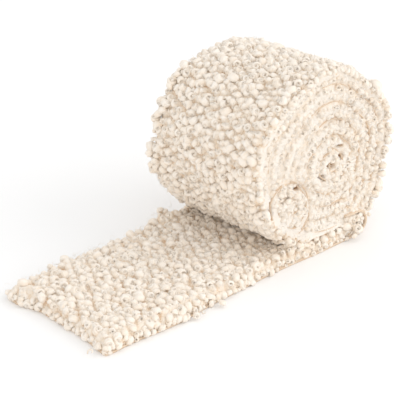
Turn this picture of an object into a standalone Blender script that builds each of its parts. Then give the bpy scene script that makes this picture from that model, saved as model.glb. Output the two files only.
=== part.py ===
"""Faux fur trim: a band of curly pile cloth wound into a roll that lies on its own loose end.

X runs along the loose end, from its cut end at -X to the roll at +X. Y runs across the band and Z is up.
All sizes are in millimetres until a finished mesh is scaled to metres.

The roll is one lumpy solid. Its side follows a table of radii, wound pile out, and each end shows the
layers: a spiral of ridges and grooves round the main whorl, and a smaller whorl where the band is
pleated back on itself. The loose end is one lumpy slab with a flat underside.
"""

import math

import bmesh
import bpy
from mathutils import Vector, noise
from mathutils.geometry import delaunay_2d_cdt

MM = 0.001

# The band and its pile
BAND_WIDTH = 100.0  # across the cloth, edge to edge
STRIP_THICKNESS = 8.2  # backing and the even part of the pile, lying free
CRUSHED_THICKNESS = 10.8  # top of the loose end where the roll presses on it
CONTACT_GAP = 0.3  # between the roll and the loose end
LOCK_PITCH = 12.0  # from one lock of curls to the next
LOCK_REACH = 7.0  # radius of one lock's dome
LOCK_HEIGHT = 5.0  # tallest dome over the roots
LOCK_LOWEST = 0.4  # share of that height which the smallest lock has
LOCK_DRIFT = 0.45  # how far a lock stands off its lattice place, in pitches
# A number that gives each run of noise its own pattern
NOISE_ROLL = 0.5
NOISE_STRIP = 7.5
NOISE_RIM = 21.5
NOISE_LONG_EDGES = 3.0
NOISE_CUT_ENDS = 8.0

# The roll
ROLL_STEPS = 108  # points round the side
ROLL_ROWS = 26  # rows of points across the width
ROOT_DEPTH = 2.2  # the pile's roots lie this far inside the measured outline
SHOULDER = 4.5  # radius of the soft edge between the side and an end
SHOULDER_STEPS = 2
SHOULDER_RISE = 0.35  # rise of the pressed underside for each mm of the soft edge
SHOULDER_LEAN = 0.6  # share of a lock's height by which it leans out over an end
ROLL_LOCKS = 35  # locks round the side
PRESSED_ZONE = 14.0  # height over the contact in which the locks grow back to full size
SECTION_CENTRES = {"near": (65.5, 76.0), "far": (57.5, 72.0)}  # x and z at the near (-Y) and far ends
# One row for each direction: degrees from +X towards +Z, then the radius at the near and the far end
OUTLINE = (
    (-60, 77.0, 72.0),
    (-45, 74.0, 69.0),
    (-32, 70.0, 66.0),
    (-18, 65.0, 63.5),
    (0, 65.0, 63.0),
    (15, 65.0, 63.0),
    (30, 62.0, 61.5),
    (45, 59.5, 60.0),
    (62, 61.5, 59.5),
    (80, 65.0, 59.0),
    (100, 64.0, 58.5),
    (120, 61.5, 60.5),
    (140, 63.5, 61.0),
    (160, 67.0, 62.0),
    (180, 65.0, 64.0),
    (200, 63.5, 65.5),
    (220, 63.5, 64.0),
    (240, 66.0, 64.0),
    (260, 69.0, 67.0),
    (280, 72.0, 70.0),
)

# The layers at the roll's ends
WHORL_OFFSET = (11.6, -12.6)  # main whorl's centre from the section's centre
LAYERS = 6.0  # turns between the whorl and the side
LAYER_CROWDING = 0.86  # under 1 the inner turns are closer together than the outer ones
SEAM_ANGLE = math.radians(-35.0)  # where the outermost layer leaves the roll
GROOVE_DEPTH = 2.6
RIDGE_HEIGHT = 2.0
LEVEL_VARIATION = 1.4  # random rise and fall of a ridge or groove
LEVEL_GRAIN = 9.0  # size of that variation along the face
RIM_POINTS = 180  # points of the outline that the layers are fitted in
FIRST_TURN = 0.35  # share of a turn at which a groove or ridge starts
POINT_SPACING = 5.2  # along a ridge or groove
CLEARANCE = 2.6  # between points that no line joins
PLEAT_OFFSET = (-30.4, -31.9)  # second whorl's centre from the section's centre
PLEAT_RADII = (23.0, 17.0)  # along and across its long axis
PLEAT_TILT = math.radians(118.0)
PLEAT_TURNS = 2.0
PLEAT_MARGIN = 3.5  # width round the second whorl that the main layers leave to it

# The loose end
STRIP_START = -132.0  # cut end
STRIP_END = 103.0  # fold under the roll
STRIP_COLUMNS = 58
STRIP_ROWS = 25
RIM_REACH = 3.2  # how far the tallest lock leans out past the cut edge
RIM_DROP = 2.6  # how much lower the pile is at its rim
RIM_WAIST = 0.42  # height of the widest part of the rim, as a share of the top's
RIM_WAIST_REACH = 1.0  # how far that part stands out past the top's edge
RIM_INSET = 2.4  # how far the flat underside stays inside it
EDGE_WAVE = 2.2  # how far a cut edge wanders from straight
EDGE_WAVE_LENGTH = 26.0
CONTACT_START = 26.0  # x where the pile starts to be pressed flat
CONTACT_FULL = 44.0
DOG_EAR = 5.5  # pull of the near corner of the cut end
DOG_EAR_SIZE = 26.0
CORNER_CUT = 3.5  # how far a corner is rounded back
CORNER_SIZE = 9.0
# Swells of the loose end: x, y, half-lengths along X and Y, height
SWELLS = (
    (4.0, 52.0, 17.0, 14.0, 7.5),
    (-30.0, -18.0, 34.0, 26.0, 1.6),
    (-92.0, 20.0, 30.0, 30.0, 1.4),
    (-70.0, -50.0, 22.0, 16.0, 1.5),
    (-122.0, -40.0, 20.0, 18.0, 1.8),
)
ARCH = (6.0, 52.0, 15.0, 9.0, 5.0)  # hollow under the first swell, in the same columns
SWELL_SPREAD = 1.35  # a swell ends at this many half-lengths
ARCH_STEPS = 6  # stretches of the hollow's inner edge
LOWEST_LIFT = 0.4  # less lift than this counts as flat

# The middle of the whole part's box in the coordinates above, where the origin goes
ORIGIN = (-3.2, 0.34)

# Colours of the two materials
CREAM = (0.86, 0.79, 0.69, 1.0)
ROUGHNESS = 0.95


def smooth_step(value, low, high):
    """0 below low, 1 above high and an S curve between."""
    share = min(max((value - low) / (high - low), 0.0), 1.0)
    return share * share * (3.0 - 2.0 * share)


def mix(a, b, share):
    return a + (b - a) * share


def swell(x, y, row):
    """Height at (x, y) of one soft bump, a row of x, y, half-lengths and height."""
    centre_x, centre_y, half_x, half_y, height = row
    distance = math.hypot((x - centre_x) / half_x, (y - centre_y) / half_y)
    return height * (1.0 - smooth_step(distance, 0.0, SWELL_SPREAD))


def pile_height(s, t, pattern, columns=None):
    """Height of the pile over its mean surface at (s, t) mm: the tallest dome of the locks nearby.

    The locks stand on a staggered lattice, each moved and sized by noise of its own cell, in the given
    pattern. With columns the lattice closes after that many locks.
    """
    row_here = math.floor(t / LOCK_PITCH)
    best = 0.0
    for row in (row_here - 1, row_here, row_here + 1):
        shift = 0.5 * (row % 2)
        column_here = math.floor(s / LOCK_PITCH - shift)
        for column in (column_here - 1, column_here, column_here + 1):
            key = column % columns if columns else column
            chance = noise.cell_vector(Vector((key + 0.5, row + 0.5, pattern)))
            centre_s = (column + shift + 0.5 + LOCK_DRIFT * (chance.x - 0.5)) * LOCK_PITCH
            centre_t = (row + 0.5 + LOCK_DRIFT * (chance.y - 0.5)) * LOCK_PITCH
            distance = math.hypot(s - centre_s, t - centre_t) / LOCK_REACH
            if distance < 1.0:
                dome = math.sqrt(1.0 - distance * distance)
                best = max(best, dome * mix(LOCK_LOWEST, 1.0, chance.z))
    return best * LOCK_HEIGHT


def outline_radius(angle, share):
    """Radius of the roll's mean surface at an angle; share is 0 at the near end and 1 at the far end.

    Between two rows of OUTLINE the radius follows a Catmull-Rom curve.
    """
    degrees = (math.degrees(angle) - OUTLINE[0][0]) % 360.0 + OUTLINE[0][0]
    count = len(OUTLINE)
    index = max(k for k in range(count) if OUTLINE[k][0] <= degrees)
    rows = [OUTLINE[(index + k) % count] for k in (-1, 0, 1, 2)]
    start = OUTLINE[index][0]
    end = OUTLINE[index + 1][0] if index + 1 < count else OUTLINE[0][0] + 360.0
    u = (degrees - start) / (end - start)
    radii = [mix(row[1], row[2], share) for row in rows]
    slope_in = (radii[2] - radii[0]) / 2.0
    slope_out = (radii[3] - radii[1]) / 2.0
    return (
        radii[1] * (2 * u**3 - 3 * u**2 + 1)
        + slope_in * (u**3 - 2 * u**2 + u)
        + radii[2] * (3 * u**2 - 2 * u**3)
        + slope_out * (u**3 - u**2)
    )


def section_centre(share):
    """x and z of the roll's middle at a share of the way from the near end to the far end."""
    near, far = SECTION_CENTRES["near"], SECTION_CENTRES["far"]
    return mix(near[0], far[0], share), mix(near[1], far[1], share)


def roll_point(angle, y, inset, height):
    """A point of the surface: inset from the outline, raised by height and pressed flat at the bottom."""
    share = min(max(y / BAND_WIDTH + 0.5, 0.0), 1.0)
    centre_x, centre_z = section_centre(share)
    radius = outline_radius(angle, share) - ROOT_DEPTH - inset
    floor = CRUSHED_THICKNESS + CONTACT_GAP
    clear = centre_z + radius * math.sin(angle) - floor
    radius += height * smooth_step(clear, 0.0, PRESSED_ZONE)
    x = centre_x + radius * math.cos(angle)
    z = max(centre_z + radius * math.sin(angle), floor + SHOULDER_RISE * inset)
    return Vector((x, y, z))


def side_profile():
    """(y, inset, lean) across the side: lean is 1 where the pile points along Y and 0 where it points out."""
    half = BAND_WIDTH / 2.0
    rows = []
    for step in range(SHOULDER_STEPS):
        turn = math.pi / 2.0 * step / SHOULDER_STEPS
        y = -half + SHOULDER * (1.0 - math.cos(turn))
        rows.append((y, SHOULDER * (1.0 - math.sin(turn)), math.cos(turn)))
    straight = BAND_WIDTH - 2.0 * SHOULDER
    count = ROLL_ROWS - 2 * SHOULDER_STEPS
    for step in range(count):
        rows.append((-half + SHOULDER + straight * step / (count - 1), 0.0, 0.0))
    rows += [(-y, inset, -lean) for y, inset, lean in reversed(rows[:SHOULDER_STEPS])]
    return rows


def inside(point, polygon):
    """Whether a 2-D point lies in a closed polygon."""
    x, z = point
    found = False
    for (ax, az), (bx, bz) in zip(polygon, polygon[1:] + polygon[:1]):
        if (az > z) != (bz > z) and x < ax + (z - az) / (bz - az) * (bx - ax):
            found = not found
    return found


def triangles_inside(points, count):
    """Delaunay triangles of 2-D points that lie inside the polygon of the first count points.

    Gives each triangle as three places in points.
    """
    result = delaunay_2d_cdt(points, [], [list(range(count))], 1, 1e-6, True)
    corners, faces, sources = result[0], result[2], [source[0] for source in result[3]]
    polygon = [tuple(point) for point in points[:count]]
    kept = []
    for face in faces:
        middle = sum((corners[k] for k in face), Vector((0.0, 0.0))) / 3.0
        if inside(middle, polygon):
            kept.append([sources[k] for k in face])
    return kept


def walk(curve, start, end):
    """Points POINT_SPACING apart along curve(t) from start to end."""
    points, t, small_step = [], start, 0.01
    while t < end:
        here = curve(t)
        points.append(here)
        speed = (curve(t + small_step) - here).length / small_step
        t += POINT_SPACING / speed
    return points


def layer_lines(share):
    """The grooves and ridges of one end of the roll, as (points, is_ridge) with points in x and z."""
    centre = Vector(section_centre(share))
    whorl = centre + Vector(WHORL_OFFSET)
    pleat = centre + Vector(PLEAT_OFFSET)
    full_turn = 2.0 * math.pi
    polar = []
    for step in range(RIM_POINTS):
        angle = full_turn * step / RIM_POINTS
        offset = centre + outline_radius(angle, share) * Vector((math.cos(angle), math.sin(angle))) - whorl
        polar.append((math.atan2(offset.y, offset.x) % full_turn, offset.length))
    polar.sort()

    def reach(angle):
        """Distance from the whorl to the side at an angle."""
        angle %= full_turn
        above = next((k for k, (a, _) in enumerate(polar) if a > angle), 0)
        (a0, r0), (a1, r1) = polar[above - 1], polar[above]
        return mix(r0, r1, ((angle - a0) % full_turn) / ((a1 - a0) % full_turn))

    def spiral(turn, inwards):
        """The groove outside a layer after so many turns, or a line that many layers further in."""
        angle = SEAM_ANGLE + full_turn * turn
        share_out = ((turn - inwards) / (LAYERS + turn % 1.0)) ** (1.0 / LAYER_CROWDING)
        return whorl + reach(angle) * share_out * Vector((math.cos(angle), math.sin(angle)))

    along = Vector((math.cos(PLEAT_TILT), math.sin(PLEAT_TILT)))
    across = Vector((-along.y, along.x))

    def pleat_spiral(turn, inwards):
        """The same for the oval second whorl, whose last turn stays on its edge."""
        size = min((turn - inwards) / PLEAT_TURNS, 1.0)
        angle = full_turn * turn
        long_way = PLEAT_RADII[0] * math.cos(angle) * along
        short_way = PLEAT_RADII[1] * math.sin(angle) * across
        return pleat + size * (long_way + short_way)

    def in_pleat(point):
        offset = point - pleat
        long_way = offset.dot(along) / (PLEAT_RADII[0] + PLEAT_MARGIN)
        short_way = offset.dot(across) / (PLEAT_RADII[1] + PLEAT_MARGIN)
        return math.hypot(long_way, short_way) < 1.0

    lines = []
    for inwards, is_ridge in ((0.0, False), (0.5, True)):
        start = inwards + FIRST_TURN
        points = walk(lambda turn: pleat_spiral(turn, inwards), start, PLEAT_TURNS + 1.0)
        lines.append((points, is_ridge))
    for inwards, is_ridge in ((0.0, False), (0.5, True)):
        start = inwards + FIRST_TURN
        points = walk(lambda turn: spiral(turn, inwards), start, LAYERS + 1.0)
        lines.append(([point for point in points if not in_pleat(point)], is_ridge))
    return lines


def add_roll_end(mesh, ring, side):
    """Fill one end of the roll inside its ring of vertices with the ridges and grooves of the layers.

    side is -1 at the near end and 1 at the far end.
    """
    half = BAND_WIDTH / 2.0
    rim = [Vector((v.co.x, v.co.z)) for v in ring]
    polygon = [tuple(point) for point in rim]
    flat_points, levels = list(rim), [None] * len(rim)
    for points, is_ridge in layer_lines(0.0 if side < 0 else 1.0):
        for point in points:
            close = min((point - other).length for other in flat_points)
            if close < CLEARANCE or not inside(point, polygon):
                continue
            variation = noise.noise(Vector((point.x, point.y, side * BAND_WIDTH)) / LEVEL_GRAIN)
            level = (RIDGE_HEIGHT if is_ridge else -GROOVE_DEPTH) + LEVEL_VARIATION * variation
            flat_points.append(point)
            levels.append(level)
    vertices = list(ring)
    for point, level in zip(flat_points[len(rim):], levels[len(rim):]):
        vertices.append(mesh.verts.new((point.x, side * (half + level), point.y)))
    for face in triangles_inside(flat_points, len(rim)):
        mesh.faces.new([vertices[k] for k in face])


def build_roll():
    """The wound part: lumpy side, soft shoulders and both layered ends."""
    mesh = bmesh.new()
    rings = []
    for y, inset, lean in side_profile():
        ring = []
        for step in range(ROLL_STEPS):
            angle = 2.0 * math.pi * step / ROLL_STEPS
            around = ROLL_LOCKS * LOCK_PITCH * step / ROLL_STEPS
            lock = pile_height(around, y, NOISE_ROLL, ROLL_LOCKS)
            slope = math.sqrt(max(1.0 - lean * lean, 0.0))
            point = roll_point(angle, y, inset, lock * slope)
            point.y -= SHOULDER_LEAN * lock * lean
            ring.append(mesh.verts.new(point))
        rings.append(ring)
    for lower, upper in zip(rings, rings[1:]):
        for k in range(ROLL_STEPS):
            n = (k + 1) % ROLL_STEPS
            mesh.faces.new((lower[k], lower[n], upper[n], upper[k]))
    add_roll_end(mesh, rings[0], -1)
    add_roll_end(mesh, rings[-1], 1)
    return mesh


def edge_wave(position, pattern):
    """How far a cut edge wanders from straight, in mm."""
    return EDGE_WAVE * noise.noise(Vector((position / EDGE_WAVE_LENGTH, pattern, 0.0)))


def strip_plan(u, v, reach):
    """x and y at shares u along and v across the loose end, pushed out by reach at its rim."""
    x = mix(STRIP_START, STRIP_END, u)
    half = BAND_WIDTH / 2.0
    y = mix(-half, half, v)
    side = 2.0 * v - 1.0
    end = 2.0 * u - 1.0
    corner_x, corner_y = (STRIP_START if end < 0.0 else STRIP_END), math.copysign(half, side)
    cut = swell(x, y, (corner_x, corner_y, CORNER_SIZE, CORNER_SIZE, CORNER_CUT))
    x -= swell(x, y, (STRIP_START, -half, DOG_EAR_SIZE, DOG_EAR_SIZE, DOG_EAR))
    y += side * (reach + edge_wave(x, NOISE_LONG_EDGES + side) - cut)
    x += end * (reach + edge_wave(y, NOISE_CUT_ENDS + end) - cut)
    return x, y


def contact(x):
    """1 where the roll presses the pile flat, 0 where it lies free."""
    return smooth_step(x, CONTACT_START, CONTACT_FULL)


def strip_top(x, y):
    """Height of the loose end's pile at (x, y)."""
    free = STRIP_THICKNESS + pile_height(x, y, NOISE_STRIP) + sum(swell(x, y, row) for row in SWELLS)
    return mix(free, CRUSHED_THICKNESS, contact(x))


def strip_rim(columns, rows):
    """(u, v) round the edge of the loose end's grid, anticlockwise from the near corner of the cut end."""
    near = [(i, 0) for i in range(columns)]
    fold = [(columns, j) for j in range(rows)]
    far = [(i, rows) for i in range(columns, 0, -1)]
    cut = [(0, j) for j in range(rows, 0, -1)]
    return near + fold + far + cut


def rim_lean(u, v):
    """How far the locks at a place on the rim lean out past the cut edge."""
    x, y = strip_plan(u, v, 0.0)
    return RIM_REACH * pile_height(x, y, NOISE_RIM) / LOCK_HEIGHT


def build_strip():
    """The loose end: a lumpy top, a rim of leaning locks and a flat underside with one hollow."""
    mesh = bmesh.new()
    grid = []
    for i in range(STRIP_COLUMNS + 1):
        column = []
        for j in range(STRIP_ROWS + 1):
            u, v = i / STRIP_COLUMNS, j / STRIP_ROWS
            edge = i in (0, STRIP_COLUMNS) or j in (0, STRIP_ROWS)
            x, y = strip_plan(u, v, rim_lean(u, v) if edge else 0.0)
            z = strip_top(x, y) - (RIM_DROP if edge else 0.0)
            column.append(mesh.verts.new((x, y, z)))
        grid.append(column)
    for i in range(STRIP_COLUMNS):
        for j in range(STRIP_ROWS):
            mesh.faces.new((grid[i][j], grid[i + 1][j], grid[i + 1][j + 1], grid[i][j + 1]))
    around = strip_rim(STRIP_COLUMNS, STRIP_ROWS)
    top, middle, bottom = [], [], []
    for i, j in around:
        u, v = i / STRIP_COLUMNS, j / STRIP_ROWS
        lean = rim_lean(u, v)
        top.append(grid[i][j])
        x, y = strip_plan(u, v, lean + RIM_WAIST_REACH)
        lift = swell(x, y, ARCH)
        middle.append(mesh.verts.new((x, y, mix(lift, strip_top(x, y), RIM_WAIST))))
        x, y = strip_plan(u, v, lean + RIM_WAIST_REACH - RIM_INSET)
        bottom.append(mesh.verts.new((x, y, lift if lift > LOWEST_LIFT else 0.0)))
    count = len(around)
    for upper, lower in ((top, middle), (middle, bottom)):
        for k in range(count):
            n = (k + 1) % count
            mesh.faces.new((upper[n], upper[k], lower[k], lower[n]))
    flat = [Vector((v.co.x, v.co.y)) for v in bottom]
    arch_x, arch_y, arch_length, arch_depth, _ = ARCH
    hollow_edge = []
    for step in range(ARCH_STEPS + 1):
        turn = math.pi * (1.0 + step / ARCH_STEPS)
        x = arch_x + SWELL_SPREAD * arch_length * math.cos(turn)
        y = arch_y - RIM_INSET - RIM_REACH + SWELL_SPREAD * arch_depth * math.sin(turn)
        hollow_edge.append(Vector((x, y)))
    vertices = bottom + [mesh.verts.new((point.x, point.y, 0.0)) for point in hollow_edge]
    for face in triangles_inside(flat + hollow_edge, count):
        mesh.faces.new([vertices[k] for k in reversed(face)])
    return mesh


def cloth_material(name, colour):
    """Cream pile: matt, with no metal in it."""
    material = bpy.data.materials.new(name)
    material.use_nodes = True
    shader = material.node_tree.nodes["Principled BSDF"]
    shader.inputs["Base Color"].default_value = colour
    shader.inputs["Roughness"].default_value = ROUGHNESS
    shader.inputs["Metallic"].default_value = 0.0
    return material


def add_object(name, mesh, material):
    """Move a finished bmesh to the part's origin, scale it to metres and link it as an object."""
    bmesh.ops.triangulate(mesh, faces=[f for f in mesh.faces if len(f.verts) > 3])
    bmesh.ops.recalc_face_normals(mesh, faces=mesh.faces)
    bmesh.ops.translate(mesh, vec=(-ORIGIN[0], -ORIGIN[1], 0.0), verts=mesh.verts)
    bmesh.ops.scale(mesh, vec=(MM, MM, MM), verts=mesh.verts)
    data = bpy.data.meshes.new(name)
    mesh.to_mesh(data)
    mesh.free()
    data.materials.append(material)
    data.shade_smooth()
    thing = bpy.data.objects.new(name, data)
    bpy.context.scene.collection.objects.link(thing)
    return thing


def main():
    for thing in list(bpy.data.objects):
        bpy.data.objects.remove(thing)
    add_object("fur_roll", build_roll(), cloth_material("roll_pile", CREAM))
    add_object("loose_end", build_strip(), cloth_material("loose_end_pile", CREAM))


main()
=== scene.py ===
"""Faux fur trim: a cream band with a pile of small curls, wound into a roll that lies on its own loose end.

Every curl of the pile is a ringlet: a tapered tube whose middle line winds in on itself. The ringlets stand
on a lumpy mass of finer pile, which follows the solid of the wound part and of the loose end. At the roll's
ends the cut edges of the layers show as a spiral, with a smaller whorl where the band is pleated.

X runs along the loose end to the roll, Y across the band and Z up, in metres.
"""

import math

import bpy
import numpy as np
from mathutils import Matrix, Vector


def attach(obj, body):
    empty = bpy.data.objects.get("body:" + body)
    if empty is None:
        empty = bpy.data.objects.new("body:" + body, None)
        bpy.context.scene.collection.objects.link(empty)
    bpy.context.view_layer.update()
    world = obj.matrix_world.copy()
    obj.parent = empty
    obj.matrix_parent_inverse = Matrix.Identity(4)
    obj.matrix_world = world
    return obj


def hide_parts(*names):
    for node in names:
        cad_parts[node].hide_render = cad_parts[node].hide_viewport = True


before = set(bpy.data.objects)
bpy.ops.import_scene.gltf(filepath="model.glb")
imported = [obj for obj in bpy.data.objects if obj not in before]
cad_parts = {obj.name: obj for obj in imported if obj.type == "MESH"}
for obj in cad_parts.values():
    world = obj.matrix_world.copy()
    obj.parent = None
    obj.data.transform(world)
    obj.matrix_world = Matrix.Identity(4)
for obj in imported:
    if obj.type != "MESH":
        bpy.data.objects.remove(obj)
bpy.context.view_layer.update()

bl_info = {
    "name": "Faux fur trim",
    "version": (1, 0, 0),
    "blender": (4, 5, 0),
    "location": "3D View > Sidebar > Fur trim",
    "description": "Makes a wound band of curly pile trim with its loose end",
    "category": "Object",
}

FULL_TURN = 2.0 * math.pi
ORIGIN = np.array((-0.0032, 0.00034))  # the part's origin in the coordinates of the sizes below

# The roll, with the sizes of its solid
BAND_WIDTH = 0.100
SECTION_NEAR = np.array((0.0655, 0.0760))  # x and z of the roll's middle at the near (-Y) end
SECTION_FAR = np.array((0.0575, 0.0720))
MASS_DEPTH = -0.0006  # of the fine pile among the curls, below the outline of the solid
ROW_SHIFT = 0.0014  # of the roll's rows of curls towards its near end, so that both ends have a row
END_SETBACK = 0.0020  # of the fine pile at the roll's ends, behind the band's cut edge
SHOULDER = 0.0045
ROLL_FLOOR = 0.0111  # height of the roll's pressed underside
# Degrees from +X towards +Z, then the radius of the pile at the near and the far end
OUTLINE = np.array((
    (-60, 0.0770, 0.0720),
    (-45, 0.0740, 0.0690),
    (-32, 0.0700, 0.0660),
    (-18, 0.0650, 0.0635),
    (0, 0.0650, 0.0630),
    (15, 0.0650, 0.0630),
    (30, 0.0620, 0.0615),
    (45, 0.0595, 0.0600),
    (62, 0.0615, 0.0595),
    (80, 0.0650, 0.0590),
    (100, 0.0640, 0.0585),
    (120, 0.0615, 0.0605),
    (140, 0.0635, 0.0610),
    (160, 0.0670, 0.0620),
    (180, 0.0650, 0.0640),
    (200, 0.0635, 0.0655),
    (220, 0.0635, 0.0640),
    (240, 0.0660, 0.0640),
    (260, 0.0690, 0.0670),
    (280, 0.0720, 0.0700),
))

# The layers at the roll's ends
WHORL_OFFSET = np.array((0.0116, -0.0126))
LAYERS = 6.0
LAYER_CROWDING = 0.86
SEAM_ANGLE = math.radians(-35.0)
PLEAT_OFFSET = np.array((-0.0304, -0.0319))
PLEAT_RADII = np.array((0.0230, 0.0170))
PLEAT_TILT = math.radians(118.0)
PLEAT_TURNS = 2.0
PLEAT_RIM = 1.05  # its edge, as a share of the oval's size

# Gaps between layers at the near end: x, z, half length, half width, tilt in degrees
GAPS = (
    (0.0767, 0.0640, 0.0046, 0.0025, 158.0),
    (0.0680, 0.0583, 0.0036, 0.0021, 160.0),
    (0.0437, 0.0584, 0.0040, 0.0026, 165.0),
    (0.0865, 0.0685, 0.0032, 0.0020, 150.0),
    (0.0949, 0.1060, 0.0034, 0.0014, 170.0),
    (0.0844, 0.0770, 0.0044, 0.0014, 165.0),
)
GAP_DEPTH = 0.0070
# Open side of the second whorl: share of its oval, then from and to which heading in degrees
PLEAT_GAP = (PLEAT_RIM, 150.0, 262.0)
PLEAT_GAP_WIDTH = 0.065  # half of it, as a share of the oval's size
# The smooth edge of the outermost layer: from and to which angle of the roll, and inner share of its radius
SMOOTH_EDGE = (192.0, 292.0, 0.83)

# The loose end, with the sizes of its solid
STRIP_START = -0.1315
STRIP_END = 0.1030
STRIP_LENGTH = STRIP_END - STRIP_START
STRIP_PRESSED = (0.026, 0.044)  # x where the roll starts to press the pile flat, and where it is flat
# Swells of the loose end: x, y, half-lengths along X and Y, height
SWELLS = (
    (0.004, 0.052, 0.017, 0.014, 0.0075),
    (-0.030, -0.018, 0.034, 0.026, 0.0016),
    (-0.092, 0.020, 0.030, 0.030, 0.0014),
    (-0.070, -0.050, 0.022, 0.016, 0.0015),
    (-0.122, -0.040, 0.020, 0.018, 0.0018),
)
SWELL_SPREAD = 1.35
FOLD_RADIUS = 0.0092  # of the turn of the backing under the roll
FOLD_SETBACK = 0.003  # of the start of that turn, before the end of the strip
FOLD_BACK = 0.012  # length of the backing after the turn
BACKING_HALF = 0.0007  # half the backing's thickness
LOOSE_PILE = 0.0110  # height of the loose end's fine pile
PRESSED_PILE = 0.0108  # the same under the roll
EDGE_REACH = 0.004  # how far in from the loose end's edges the pile leans and thins
# Pulled corners of the cut end: y of each, how far it reaches out, and the size of the part it pulls
DOG_EARS = (
    (-0.050, 0.0034, 0.022),
    (0.042, 0.0058, 0.018),
)
# Bulges of the near edge: x, half length, height
EDGE_BULGES = (
    (-0.125, 0.012, 0.0012),
    (-0.076, 0.036, 0.0030),
    (0.020, 0.036, -0.0016),
)

# The roll's crown lies lower in the pile than in its solid: heading, half width, both in degrees, and depth
CROWN_SAG = (86.0, 30.0, 0.0010)

# Tufts that stand out of the roll's outline: angle in degrees, and y
TUFTS = (
    (358.0, -0.047),
    (350.0, -0.047),
    (322.0, -0.047),
    (310.0, -0.047),
    (36.0, -0.046),
    (122.0, 0.047),
    (136.0, 0.047),
    (150.0, 0.047),
    (163.0, 0.047),
    (184.0, 0.047),
    (194.0, 0.047),
)
TUFT_CURLS = 4
# Curls that hang out of the loose end's edges: x, y, z
STRAYS = (
    (-0.0614, -0.0570, 0.0030),
    (-0.0378, -0.0562, 0.0030),
    (0.0985, -0.0535, 0.0065),
    (0.0920, -0.0545, 0.0045),
    (0.0950, -0.0545, 0.0085),
    (0.0030, 0.0505, 0.0150),
    (0.0060, 0.0515, 0.0120),
    (-0.0980, 0.0500, 0.0085),
    (-0.0860, 0.0495, 0.0090),
)
# Thin open hooks of a few fibres: x, y, z, size
HOOKS = (
    (-0.1425, -0.0452, 0.0040, 0.0029),
    (-0.0541, -0.0572, 0.0030, 0.0021),
)
HOOK_FACING = (-0.5, -0.5, 0.7)  # the way both stand off the edge

# Curls: half thickness and half width of the lock of fibre, as shares of the curl's size
CURL_LOCK = (0.50, 0.90)
CURL_SIDES = 5  # round the lock
CURL_STEPS = 12  # along it
SMALL_STEPS = 9
SMALL_CURL = 0.66  # size of the small curls that fill the gaps, as a share of a curl's
BETWEEN_TUFTS = 0.56  # pitches from a tuft to the gap where a small curl stands
END_CURL_SIZE = 0.0019
ROOT_DEPTH = 0.0013  # of the roll's curls, below its outline
LOOSE_ROOTS = 0.0085  # height of the roots of the loose end's curls
LOOSE_SMALL_ROOTS = 0.0090
ROLL_GIRTH = 0.415  # length round the roll, before it is rounded to whole pitches

# Loose fibres
FIBRE_RADIUS = 0.00014
FIBRE_STEPS = 4
FIBRE_SIDES = 3
FIBRE_LENGTH = 0.0042
END_FIBRE_LENGTH = 0.0034

# Grid of the roll's fine pile: points round it and across its side, and rings in its near and far end
MASS_AROUND = 280
MASS_ACROSS = 64
NEAR_RINGS = 92
FAR_RINGS = 44
END_GRAIN = 0.0031  # pitch of the small lumps of the ends
TAN_PITCH = 0.0125  # of the patches where the backing shows through

# Cut edge of the backing between the layers: half thickness, half width and points round it
EDGE_THICK = 0.00035
EDGE_WIDE = 0.0016
EDGE_SIDES = 6

# Scales of the backing's knit: a wave is 0.314 m over its scale, so 1.3 mm for a rib and 1.0 mm for a stitch
KNIT_RIBS = 240.0
KNIT_STITCHES = 310.0

# The photograph's view
CAMERA_DIRECTION = math.radians(44.6)  # from +Y towards +X
CAMERA_ELEVATION = math.radians(28.3)
CAMERA_DISTANCE = 1.5
CAMERA_PIVOT = np.array((0.0257, -0.04034, 0.0600))
PIVOT_OFF_CENTRE = (70.0 / 2205.0, 10.0 / 2205.0)  # right and up, as tangents
FOCAL_LENGTH = 198.5
SENSOR = 36.0


def smooth_step(value, low, high):
    """0 below low, 1 above high and the cubic 3t^2 - 2t^3 between."""
    t = np.clip((value - low) / (high - low), 0.0, 1.0)
    return t * t * (3.0 - 2.0 * t)


def mix(a, b, share):
    return a + (b - a) * share


def unit(vectors):
    return vectors / np.maximum(np.linalg.norm(vectors, axis=-1, keepdims=True), 1e-12)


def joined(*parts):
    """Points or vectors from their parts, each an array or one number."""
    return np.stack(np.broadcast_arrays(*parts), axis=-1)


def polar(offset):
    """Angle and length of each plane vector."""
    return np.arctan2(offset[..., 1], offset[..., 0]), np.hypot(offset[..., 0], offset[..., 1])


def facing(angle):
    """The unit plane vector at each angle."""
    return joined(np.cos(angle), np.sin(angle))


def outline_radius(angle, share):
    """Radius of the roll at each angle, by Catmull-Rom curves between the rows of OUTLINE.

    share is 0 at the near end and 1 at the far end, and mixes the two columns.
    """
    start = OUTLINE[0, 0]
    degrees = (np.degrees(angle) - start) % 360.0 + start
    index = np.searchsorted(OUTLINE[:, 0], degrees, side="right") - 1
    count = len(OUTLINE)
    begin = OUTLINE[index, 0]
    end = np.where(index + 1 < count, OUTLINE[(index + 1) % count, 0], start + 360.0)
    u = (degrees - begin) / (end - begin)
    before, here, after, beyond = (
        mix(OUTLINE[(index + k) % count, 1], OUTLINE[(index + k) % count, 2], share) for k in (-1, 0, 1, 2)
    )
    slope_in = (after - before) / 2.0
    slope_out = (beyond - here) / 2.0
    return (
        here * (2 * u**3 - 3 * u**2 + 1)
        + slope_in * (u**3 - 2 * u**2 + u)
        + after * (3 * u**2 - 2 * u**3)
        + slope_out * (u**3 - u**2)
    )


def section_centre(share):
    """x and z of the roll's middle, straight from one end's to the other's."""
    return mix(SECTION_NEAR[0], SECTION_FAR[0], share), mix(SECTION_NEAR[1], SECTION_FAR[1], share)


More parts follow.
